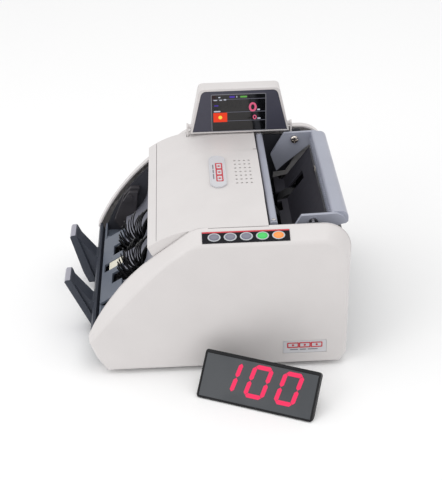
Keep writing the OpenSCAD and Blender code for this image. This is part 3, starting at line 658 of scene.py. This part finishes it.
@dataclass
class Casing:
    """The moulded shells, the badges and the frames behind them."""

    shop: Workshop
    half_width: float = 130.0
    panel_x: float = 112.0
    level_x: float = 121.0
    crease: float = 3.0
    badge_top: float = 156.8
    side_badge_y: float = 56.0
    side_badge_z: Point = (16.0, 33.0)
    slot_y: Point = (-15.0, 46.0)
    slot_foot: float = 145.0
    cover_holes: tuple[float, float, float, float] = (-30.0, 28.0, 17.0, 36.0)
    cover_foot: float = 120.0
    ear_slot: tuple[float, float, float] = (-97.0, -33.0, -25.0)
    lip_y: Point = (-65.5, -63.5)

    def panel_weight(self, a: Vector, b: Vector) -> float:
        """Share of the crease's rounding for an edge of a side panel."""
        outer = min(abs(a.x), abs(b.x))
        low, high = min(a.z, b.z), max(a.z, b.z)
        badge_low, badge_high = self.side_badge_z
        in_badge = min(a.y, b.y) > self.side_badge_y and badge_low < low and high < badge_high
        if outer > self.half_width - 0.3:
            return 0.0 if in_badge else 1.0
        on_inner = abs(abs(a.x) - self.panel_x) < 0.1 and abs(abs(b.x) - self.panel_x) < 0.1
        slot_front, slot_rear = self.slot_y
        near_slot = low > self.slot_foot and slot_front < min(a.y, b.y) and max(a.y, b.y) < slot_rear
        if on_inner and not near_slot:
            return 0.22
        if abs(abs(a.x) - self.level_x) < 0.1 and abs(abs(b.x) - self.level_x) < 0.1:
            return 0.8
        return 0.0

    def cover_weight(self, a: Vector, b: Vector) -> float:
        """Share of the cover's rounding for one of its edges."""
        x0, x1, y0, y1 = self.cover_holes
        inside = x0 < a.x < x1 and y0 < a.y < y1
        if inside or min(a.z, b.z) < self.cover_foot:
            return 0.0
        front, rear = min(a.y, b.y), max(a.y, b.y)
        slot_x, slot_front, slot_rear = self.ear_slot
        in_slot = max(a.x, b.x) < slot_x and slot_front < front and rear < slot_rear
        on_lip = self.lip_y[0] < front and rear < self.lip_y[1]
        return 0.0 if in_slot or on_lip else 1.0

    def build(self) -> None:
        """Makes the casing's pieces."""
        for node in ("side_panel_right", "side_panel_left"):
            self.shop.soften(
                node, "shell_white", "machine", self.crease, self.panel_weight, 4, 20, clamp=False
            )
        self.shop.soften("top_cover", "shell_white", "machine", 0.7, self.cover_weight, 2, 30)
        self.shop.soften("rear_cover", "dark_shell", "machine", 0.5)
        metal = ("base_chassis", "side_frames", "friction_block", "note_path_plate")
        self.shop.dress("steel_dark", *metal)
        self.shop.dress("roller_rubber", "rubber_feet")
        self.top_badge()
        self.side_badge()

    def mark(self, name: str, place: Matrix, scale: float) -> None:
        """A generic mark of three notes fanned over each other, with a line under them.

        Args:
            name: Name of the mark.
            place: Frame whose Z leaves the badge and whose X runs along it.
            scale: Size of a note against 12 by 6.5 mm.
        """
        notes = []
        for i in range(3):
            outer = round_rect(13 * scale, 7 * scale, 1.0 * scale)
            inner = round_rect(10.4 * scale, 4.6 * scale, 0.6 * scale)
            disc = arc((0, 0), 1.3 * scale, 0, 330, 11)
            spot = place @ at((i - 1) * 13.2 * scale, 1.6 * scale, 0)
            notes.append(self.shop.plate(f"{name}_{i}", [outer, inner], 0.3, spot))
            notes.append(self.shop.plate(f"{name}_{i}_disc", [disc], 0.3, spot))
        self.shop.hand_over(self.shop.join(name, notes), "machine", "mark_red", "badge_silver")
        bars = [
            self.shop.plate(f"{name}_bar_{i}", [round_rect(w * scale, 1.1 * scale, 0.5 * scale)], 0.25,
                            place @ at(x * scale, -4.3 * scale, 0))
            for i, (x, w) in enumerate(((-12, 9), (-2, 7), (9, 11)))
        ]
        lines = self.shop.join(f"{name}_bars", bars)
        self.shop.hand_over(lines, "machine", "mark_grey", "badge_silver")

    def top_badge(self) -> None:
        """The raised silver badge on the cover, with its rim and mark."""
        shop = self.shop
        outline = arc((-28, 0), 8.5, 90, 270, 18) + [(28.5, -8.5), (34.5, -3), (34.5, 3), (28.5, 8.5)]
        inner = arc((-28, 0), 7.2, 90, 270, 18) + [(28, -7.2), (33.2, -2.5), (33.2, 2.5), (28, 7.2)]
        base = shop.plate("badge_base", [outline], 1.7, at(0, 0, self.badge_top), 0.5, 2)
        rim = shop.plate("badge_rim", [outline, inner], 0.5, at(0, 0, self.badge_top + 1.5), 0.2, 1)
        shop.hand_over(shop.join("top_badge_plate", [base, rim]), "machine", "badge_silver",
                       replaces=["top_badge"])
        self.mark("top_badge_mark", at(2, 0, self.badge_top + 1.68), 1.05)

    def side_badge(self) -> None:
        """The flat badge let into the right panel."""
        low, high = (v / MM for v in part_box("side_badge"))
        face = at(high.x - 0.5, (low.y + high.y) / 2, (low.z + high.z) / 2)
        stand = face @ turn(90, "X") @ turn(90, "Y")
        size = (high.y - low.y, high.z - low.z)
        base = self.shop.plate("badge_tile", [round_rect(*size, 1.2)], 0.45, stand, 0.15, 1)
        self.shop.hand_over(self.shop.join("side_badge_plate", [base]), "machine", "badge_silver",
                            replaces=["side_badge"])
        self.mark("side_badge_mark", stand @ at(0, 0.6, 0.38), 0.9)


@dataclass
class Stacker:
    """The fork, floor, guide and paddle wheels where counted notes land."""

    shop: Workshop
    axis: Point = (-70.0, 61.0)
    wheel_x: float = 29.0
    hub: float = 13.0
    reach: float = 39.9
    fingers: int = 14
    sweep: float = 62.0
    discs: tuple[float, ...] = (-6.4, -2.1, 2.1, 6.4)
    disc_width: float = 2.6
    wall_y: float = -138.5
    wall_top: float = 43.0
    band_y: float = -157.0

    def finger_point(self, angle: float, share: float, side: int) -> Point:
        """A point on one side of a finger.

        Args:
            angle: The finger's angle at the hub, in degrees.
            share: How far along the finger, from 0 to 1.
            side: 1 or -1 for its two flanks.

        Returns:
            The point in the wheel's plane.
        """
        radius = self.hub - 2 + (self.reach - self.hub + 2) * share
        half = 1.05 - 0.5 * share
        at_angle = math.radians(angle - self.sweep * share)
        lean = at_angle - math.radians(35)
        return (
            radius * math.cos(at_angle) + side * half * math.sin(lean),
            radius * math.sin(at_angle) - side * half * math.cos(lean),
        )

    def wheel_outline(self) -> list[Point]:
        """Outline of one disc: its hub with all its curved fingers."""
        outline: list[Point] = []
        steps = 9
        for i in range(self.fingers):
            angle = -i * 360 / self.fingers
            shares = [0.1 + 0.885 * k / steps for k in range(steps + 1)]
            outline += [self.finger_point(angle, t, -1) for t in shares]
            outline += [self.finger_point(angle, t, 1) for t in reversed(shares)]
        return outline

    def in_shadow(self, middle: Vector, normal: Vector) -> bool:
        """Whether a plate face gets painted shade: its wall, back faces and prong webs."""
        if middle.y > self.wall_y and middle.z < self.wall_top:
            return True
        faces_back, faces_side = normal.y > 0.35, abs(normal.x) > 0.8
        return faces_back or (faces_side and middle.y > self.band_y)

    def wheels(self) -> None:
        """Both paddle wheels, each a stack of thin fingered discs on one hub."""
        shop = self.shop
        bore = arc((0, 0), 3.02, 0, 352, 44)
        parts = []
        for side in (-1, 1):
            for k, offset in enumerate(self.discs):
                place = (
                    at(side * self.wheel_x + offset - self.disc_width / 2, *self.axis)
                    @ turn(90, "Y") @ turn(90, "Z")
                    @ turn(k * 360 / self.fingers / len(self.discs), "Z")
                )
                loops = [self.wheel_outline(), bore]
                parts.append(shop.plate(f"disc_{side}_{k}", loops, self.disc_width, place, 0.25))
            hub_place = at(side * self.wheel_x - 8, *self.axis) @ turn(90, "Y")
            rim = arc((0, 0), self.hub - 3, 0, 350, 35)
            parts.append(shop.plate(f"hub_{side}", [rim, bore], 16, hub_place, 0.6, 2))
        shop.hand_over(shop.join("paddle_wheels", parts), "impeller", "impeller_rubber",
                       replaces=["impeller_wheels"])

    def build(self) -> None:
        """Makes the stacker's pieces."""
        shop = self.shop
        plate = shop.soften("stacker_plate", "stacker_grey", "machine", 0.9, limit=12)
        # Painted shade: back faces, prong webs and the low wall take the darker plate_shadow grey.
        plate.data.materials.append(shop.paint["plate_shadow"])
        for face in plate.data.polygons:
            face.material_index = 1 if self.in_shadow(face.center / MM, face.normal) else 0
        shop.soften("stacker_floor", "floor_slate", "machine", 0.4)
        shop.soften("stacker_guide", "guide_grey", "machine", 0.3)
        shop.soften("stacker_wall_brackets", "wall_slate", "machine", 0.5, slot="guide_grey")
        shop.soften("stacker_sensor_strip", "sensor_cream", "machine", 0.4)
        self.wheels()


@dataclass
class Hopper:
    """The rails, arms and floor that hold the notes to be counted."""

    shop: Workshop
    rail_screw: tuple[float, float, float] = (98.0, 50.2, 153.0)
    pivot: Point = (89.0, 148.5)
    screw_seat: float = 90.6
    stop_place: tuple[float, float, float] = (-30.0, 105.2, 145.0)

    def screw(self, name: str, place: Matrix, radius: float, height: float) -> bpy.types.Object:
        """A pan-head screw with a cross recess, its foot at the local origin."""
        rings = [(1.0, height * 0.35), (0.86, height * 0.4), (0.6, height * 0.25), (0.3, 0.02)]
        head = self.shop.dome(name, (2 * radius, 2 * radius), rings, place, 24)
        arm, thin = radius * 0.62, radius * 0.14
        quarter = [(arm, thin), (thin, thin), (thin, arm)]
        cross = (
            quarter
            + [(-x, y) for x, y in reversed(quarter)]
            + [(-x, -y) for x, y in quarter]
            + [(x, -y) for x, y in reversed(quarter)]
        )
        cutter = self.shop.plate(f"{name}_cross", [cross], height, place @ at(0, 0, height * 0.6))
        cut = head.modifiers.new("cross", "BOOLEAN")
        cut.operation = "DIFFERENCE"
        cut.object = cutter
        apply_modifiers(head)
        bpy.data.objects.remove(cutter)
        smooth(head, 40)
        return head

    def build(self) -> None:
        """Makes the hopper's pieces."""
        shop = self.shop
        shop.soften("hopper_front_rail", "rail_grey", "machine", 0.4, limit=40)
        shop.soften("hopper_tray", "rail_grey", "tray", 0.35, limit=40)
        shop.soften("hopper_floor", "hopper_dark", "machine", 0.3)
        shop.soften("hopper_side_guides", "guide_steel", "machine", 0.3, slot="steel")
        shop.dress("steel", "tray_pivot_screws")
        x, y, z = self.rail_screw
        screws = [self.screw(f"rail_screw_{s}", at(s * x, y, z), 2.4, 1.2) for s in (-1, 1)]
        for s in (-1, 1):
            face = at(s * self.screw_seat, *self.pivot) @ turn(-90 * s, "Y")
            screws.append(self.screw(f"pivot_screw_{s}", face, 4.4, 1.6))
        shop.hand_over(shop.join("hopper_screws", screws), "machine", "chrome", "steel")
        self.lever()

    def lever(self) -> None:
        """The bright note stop that hangs under the rear rail."""
        tip = arc((0, -21), 2.4, 20, -200, 10)
        outline = [(-1.6, 0.0), (1.6, 0.0), (1.9, -16.0)] + tip + [(-1.9, -16.0)]
        place = at(*self.stop_place) @ turn(90, "X")
        stop = self.shop.plate("note_stop", [outline], 1.4, place, 0.5, 2)
        self.shop.hand_over(stop, "tray", "chrome", "steel")


@dataclass
class Drive:
    """Shafts, rollers, belts and motors inside the machine."""

    shop: Workshop

    def build(self) -> None:
        """Dresses the drive's pieces."""
        dress = self.shop.dress
        dress("steel", "impeller_shaft", "shaft_bearings", "feed_shaft", "pickup_shaft", "exit_shaft")
        dress("motor_steel", "stacker_motor", "main_motor", "stacker_motor_pulley", "main_motor_pulley")
        dress("belt_rubber", "stacker_belt", "pickup_belt", "main_belt")
        for body in ("feed", "pickup", "exit", "pinch"):
            self.shop.soften(f"{body}_rollers", "roller_rubber", body, 0.5)


@dataclass
class Electrics:
    """Boards, power parts and sockets."""

    shop: Workshop

    def build(self) -> None:
        """Dresses the electric pieces."""
        dress = self.shop.dress
        dress("board_green", "main_board", "button_board")
        dress("motor_steel", "power_supply")
        dress("black_plastic", "sensor_bar", "speaker")
        for node in ("power_inlet", "switch_body", "readout_socket"):
            self.shop.soften(node, "black_plastic", "machine", 0.3)
        self.shop.soften("power_rocker", "rocker_black", "rocker", 0.35)


@dataclass
class Keypad:
    """The button strip on the sloping band and its five keys."""

    shop: Workshop
    origin: tuple[float, float] = (122.3, 149.78)
    tilt: float = 29.0546
    first: float = -8.7
    pitch: float = 15.4
    size: Point = (9.0, 12.5)
    strip: Point = (-20.3, 63.7)
    strip_width: float = 12.8
    strip_thick: float = 0.6
    finishes: tuple[str, ...] = ("key_grey", "key_grey", "key_grey", "key_green", "key_orange")

    def on_band(self, y: float, depth: float = 0.0) -> Matrix:
        """Frame on the band: Z leaves it and Y runs along it."""
        return at(self.origin[0], y, self.origin[1]) @ turn(self.tilt, "Y") @ at(0, 0, depth)

    def key(self, index: int) -> None:
        """One domed key with its light rim.

        Args:
            index: Its place along the strip, from 0.
        """
        shop = self.shop
        number = index + 1
        place = self.on_band(self.first + index * self.pitch, -3)
        cap = [(1.0, 3.6), (0.985, 0.25), (0.95, 0.13), (0.86, 0.04), (0.8, -0.22), (0.77, 0.0),
               (0.68, 0.3), (0.54, 0.24), (0.36, 0.14), (0.16, 0.06)]
        piece = shop.dome(f"key_{number}_cap", self.size, cap, place)
        piece.data.materials.append(shop.paint["mark_rim"])
        piece.data.materials.append(shop.paint[self.finishes[index]])
        inverse = place.inverted()
        for face in piece.data.polygons:
            spot = inverse @ face.center
            inside = (spot.x / self.size[0]) ** 2 + (spot.y / self.size[1]) ** 2 < (0.405 * MM) ** 2
            face.material_index = 1 if inside and spot.z > 3 * MM else 0
        stem = shop.dome(f"key_{number}_stem", (3.6, 3.6), [(1.0, 2.6), (0.94, 0.3)],
                         place @ at(0, 0, -2.9), 20)
        stem.data.materials.append(shop.paint["mark_rim"])
        whole = shop.join(f"key_{number}", [piece, stem])
        shop.hand_over(whole, f"key_{number}", self.finishes[index], replaces=[f"button_{number}"])

    def build(self) -> None:
        """Makes the strip, its red line and the keys."""
        shop = self.shop
        shop.soften("button_strip", "strip_black", "machine", 0.15)
        middle, length = sum(self.strip) / 2, self.strip[1] - self.strip[0]
        place = self.on_band(middle, self.strip_thick - 0.06) @ at(-self.strip_width / 2 + 0.85, 0, 0)
        line = shop.plate("strip_line", [round_rect(1.5, length - 0.3, 0.3)], 0.2, place, 0.05)
        shop.hand_over(line, "machine", "mark_red", "strip_black")
        for index in range(5):
            self.key(index)


@dataclass
class Display:
    """The folding display: housing, slate panel, screen and a plain picture."""

    shop: Workshop
    face_x: float = -97.55
    middle_y: float = 28.0
    foot_z: float = 159.4
    width: float = 58.4
    height: float = 42.4
    picture_thick: float = 0.12

    def spot(self, across: float, up: float) -> Matrix:
        """Frame on the screen: X across to the right, Y up, Z out of the glass."""
        return at(self.face_x, self.middle_y + across, self.foot_z + up) @ turn(90, "Z") @ turn(90, "X")

    def tile(
        self, name: str, box: tuple[float, float, float, float], radius: float = 0.3
    ) -> bpy.types.Object:
        """A thin tile of the picture.

        Args:
            name: Its name.
            box: Left, right, bottom and top as shares of the screen.
            radius: Radius of its corners.

        Returns:
            The tile.
        """
        left, right, bottom, top = box
        size = ((right - left) * self.width, (top - bottom) * self.height)
        place = self.spot(((left + right) / 2 - 0.5) * self.width, (bottom + top) / 2 * self.height)
        radius = min(radius, size[0] * 0.45, size[1] * 0.45)
        return self.shop.plate(name, [round_rect(*size, radius, 3)], self.picture_thick, place)

    def zero(self, name: str, centre: Point, size: Point, line: float) -> bpy.types.Object:
        """A figure nought drawn as a ring.

        Args:
            name: Its name.
            centre: Its middle as shares of the screen.
            size: Its width and height.
            line: Width of its stroke.

        Returns:
            The ring.
        """
        rings = []
        for cut in (0.0, line):
            a, b = size[0] / 2 - cut, size[1] / 2 - cut
            angles = [t * math.pi / 16 for t in range(32)]
            rings.append([(a * math.cos(t), b * math.sin(t)) for t in angles])
        place = self.spot((centre[0] - 0.5) * self.width, centre[1] * self.height)
        return self.shop.plate(name, rings, self.picture_thick, place)

    def picture(self) -> None:
        """The lines, tiles and figures that the screen shows."""
        groups: dict[str, list[bpy.types.Object]] = {
            "picture_line": [
                self.tile("line_a", (0.0, 1.0, 0.868, 0.882)),
                self.tile("line_b", (0.27, 1.0, 0.508, 0.522)),
                self.tile("line_c", (0.27, 1.0, 0.262, 0.276)),
            ],
            "picture_white": [
                self.tile(f"word_{i}", box, 0.5)
                for i, box in enumerate((
                    (0.03, 0.10, 0.845, 0.872), (0.14, 0.19, 0.845, 0.872), (0.22, 0.27, 0.85, 0.885),
                    (0.03, 0.155, 0.527, 0.562), (0.85, 0.90, 0.545, 0.585), (0.85, 0.91, 0.30, 0.335),
                    (0.12, 0.16, 0.92, 0.95), (0.46, 0.475, 0.915, 0.965),
                ))
            ],
            "picture_violet": [
                self.tile("tab_violet", (0.33, 0.43, 0.915, 0.965), 0.6),
                self.tile("mark_violet", (0.04, 0.12, 0.69, 0.72), 0.5),
            ],
            "picture_green": [self.tile("tab_green", (0.53, 0.66, 0.915, 0.96), 0.8)],
            "picture_pink": [
                self.zero("nought_large", (0.765, 0.64), (8.6, 11.0), 2.3),
                self.zero("nought_small", (0.80, 0.355), (4.2, 5.4), 1.1),
            ],
            "picture_red": [self.tile("note_tile", (0.02, 0.28, 0.245, 0.505), 0.4)],
        }
        for finish, parts in groups.items():
            self.shop.hand_over(self.shop.join(f"{finish}s", parts), "display", finish, "screen_glass")
        ring = arc((0, 0), 2.1, 0, 345, 23)
        place = self.spot((0.15 - 0.5) * self.width, 0.375 * self.height) @ at(0, 0, 0.08)
        disc = self.shop.plate("note_tile_disc", [ring], self.picture_thick, place)
        self.shop.hand_over(disc, "display", "picture_yellow", "screen_glass")

    def rim(self) -> None:
        """The light line round the screen."""
        outer = round_rect(self.width + 2.2, self.height + 2.2, 1.6)
        inner = round_rect(self.width + 0.4, self.height + 0.4, 0.9)
        place = self.spot(0, self.height / 2) @ at(0, 0, 0.2)
        line = self.shop.plate("screen_rim", [outer, inner], 0.35, place, 0.1)
        self.shop.hand_over(line, "display", "mark_grey", "panel_slate")

    def build(self) -> None:
        """Makes the display's pieces."""
        shop = self.shop
        shop.soften("display_housing", "shell_white", "display", 0.8, limit=25)
        shop.soften("display_panel", "panel_slate", "display", 0.4, limit=40)
        shop.soften("screen", "screen_glass", "display", 0.15)
        shop.soften("display_hinges", "shell_white", "machine", 0.3)
        self.rim()
        self.picture()


@dataclass
class Readout:
    """The remote readout that stands beside the machine."""

    shop: Workshop
    origin: Point = (197.0, 22.0)
    yaw: float = -24.0
    lean: float = 39.0
    figure: Point = (21.0, 33.0)
    stroke: float = 4.3
    pitch: float = 31.0
    slant: float = 10.0
    face_x: float = -0.42
    middle_z: float = 26.2
    shown: tuple[str, ...] = ("bc", "abcdef", "abcdef")

    def on_face(self) -> Matrix:
        """Frame on the window: X across, Y up the slope, Z out of it."""
        face = at(*self.origin, 1.2) @ turn(self.yaw, "Z") @ turn(-self.lean, "Y")
        return face @ at(self.face_x, 0, self.middle_z) @ turn(90, "Z") @ turn(90, "X")

    def segment(self, start: Point, end: Point) -> list[Point]:
        """Outline of one bar with pointed ends, slanted as the figures are."""
        (x0, y0), (x1, y1) = start, end
        long = math.hypot(x1 - x0, y1 - y0)
        ux, uy = (x1 - x0) / long, (y1 - y0) / long
        half, gap = self.stroke / 2, 0.22
        marks = [(gap, 0), (gap + half, half), (long - gap - half, half), (long - gap, 0),
                 (long - gap - half, -half), (gap + half, -half)]
        lean = math.tan(math.radians(self.slant))
        points = [(x0 + ux * a - uy * b, y0 + uy * a + ux * b) for a, b in marks]
        return [(x + y * lean, y) for x, y in points]

    def digits(self) -> None:
        """Three lit figures of bars on the smoked window."""
        w, h = (self.figure[0] - self.stroke) / 2, (self.figure[1] - self.stroke) / 2
        bars = {
            "a": ((-w, h), (w, h)), "b": ((w, h), (w, 0)), "c": ((w, 0), (w, -h)),
            "d": ((-w, -h), (w, -h)), "e": ((-w, 0), (-w, -h)), "f": ((-w, h), (-w, 0)),
        }
        parts = []
        for i, letters in enumerate(self.shown):
            for letter in letters:
                place = self.on_face() @ at((i - 1) * self.pitch, 0, 0)
                name = f"bar_{i}_{letter}"
                parts.append(self.shop.plate(name, [self.segment(*bars[letter])], 0.25, place))
        self.shop.hand_over(self.shop.join("readout_figures", parts), "remote", "led_red",
                            replaces=["remote_digits"])

    def build(self) -> None:
        """Makes the readout's pieces."""
        self.shop.soften("remote_case", "remote_grey", "remote", 0.8)
        self.shop.soften("remote_window", "remote_glass", "remote", 0.2)
        self.digits()


@dataclass
class Studio:
    """The camera, the pale floor and the soft light."""

    location: tuple[float, float, float] = (1.0976, -0.0345, 0.7144)
    azimuth: float = 88.1
    elevation: float = 30.17
    roll: float = -1.35
    lens: float = 88.84
    floor_size: float = 14.0
    floor_white: float = 0.97
    room_light: float = 0.86
    target: tuple[float, float, float] = (0.0, 0.0, 0.08)
    lamps: tuple[tuple[str, tuple[float, float, float], float, float], ...] = (
        ("overhead", (0.2, 0.1, 1.7), 1.4, 6.0),
        ("front_left", (1.2, -1.4, 1.1), 1.0, 6.0),
    )

    def camera(self) -> None:
        """Sets the camera up by its place, its two angles and its roll."""
        a, e, r = (math.radians(v) for v in (self.azimuth, self.elevation, self.roll))
        back = Vector((math.sin(a) * math.cos(e), -math.cos(a) * math.cos(e), math.sin(e)))
        right = Vector((math.cos(a), math.sin(a), 0))
        up = back.cross(right)
        across = right * math.cos(r) + up * math.sin(r)
        upright = up * math.cos(r) - right * math.sin(r)
        data = bpy.data.cameras.new("camera")
        data.sensor_width = 36.0
        data.lens = self.lens
        data.clip_start, data.clip_end = 0.05, 20.0
        holder = bpy.data.objects.new("camera", data)
        bpy.context.scene.collection.objects.link(holder)
        matrix = Matrix((across, upright, back)).transposed().to_4x4()
        matrix.translation = self.location
        holder.matrix_world = matrix
        bpy.context.scene.camera = holder

    def floor(self) -> None:
        """A wide pale floor that isn't part of the object."""
        bpy.ops.object.select_all(action="DESELECT")
        bpy.ops.mesh.primitive_grid_add(x_subdivisions=8, y_subdivisions=8, size=self.floor_size)
        floor = bpy.context.object
        floor.name = "floor"
        material = bpy.data.materials.new("studio_floor")
        material.use_nodes = True
        shader = next(n for n in material.node_tree.nodes if n.type == "BSDF_PRINCIPLED")
        shader.inputs["Base Color"].default_value = (*[self.floor_white] * 3, 1)
        shader.inputs["Roughness"].default_value = 0.9
        shader.inputs["Specular IOR Level"].default_value = 0.1
        floor.data.materials.append(material)

    @staticmethod
    def lamp(name: str, place: Vector, target: Vector, size: float, power: float) -> None:
        """One soft square lamp aimed at a point."""
        data = bpy.data.lights.new(name, "AREA")
        data.shape = "SQUARE"
        data.size = size
        data.energy = power
        holder = bpy.data.objects.new(name, data)
        bpy.context.scene.collection.objects.link(holder)
        holder.location = place
        holder.rotation_mode = "QUATERNION"
        holder.rotation_quaternion = (target - place).to_track_quat("-Z", "Y")

    def light(self) -> None:
        """A bright even room, with soft lamps overhead and beside the camera."""
        world = bpy.data.worlds.new("studio")
        world.use_nodes = True
        background = next(n for n in world.node_tree.nodes if n.type == "BACKGROUND")
        background.inputs["Color"].default_value = (1.0, 1.0, 1.0, 1)
        background.inputs["Strength"].default_value = self.room_light
        bpy.context.scene.world = world
        for name, place, size, power in self.lamps:
            self.lamp(name, Vector(place), Vector(self.target), size, power)
        bpy.context.scene.view_settings.view_transform = "Standard"

    def build(self) -> None:
        """Sets the studio up."""
        self.camera()
        self.floor()
        self.light()


def main() -> None:
    """Builds the studio and every sub-assembly."""
    logging.basicConfig(level=logging.INFO, format="%(name)s %(message)s")
    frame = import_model()
    Studio().build()
    shop = Workshop(frame, Paint(FINISHES + MARKS))
    for part in (Casing, Stacker, Hopper, Drive, Electrics, Keypad, Display, Readout):
        LOG.info("building %s", part.__name__)
        part(shop).build()


if __name__ == "__main__":
    main()
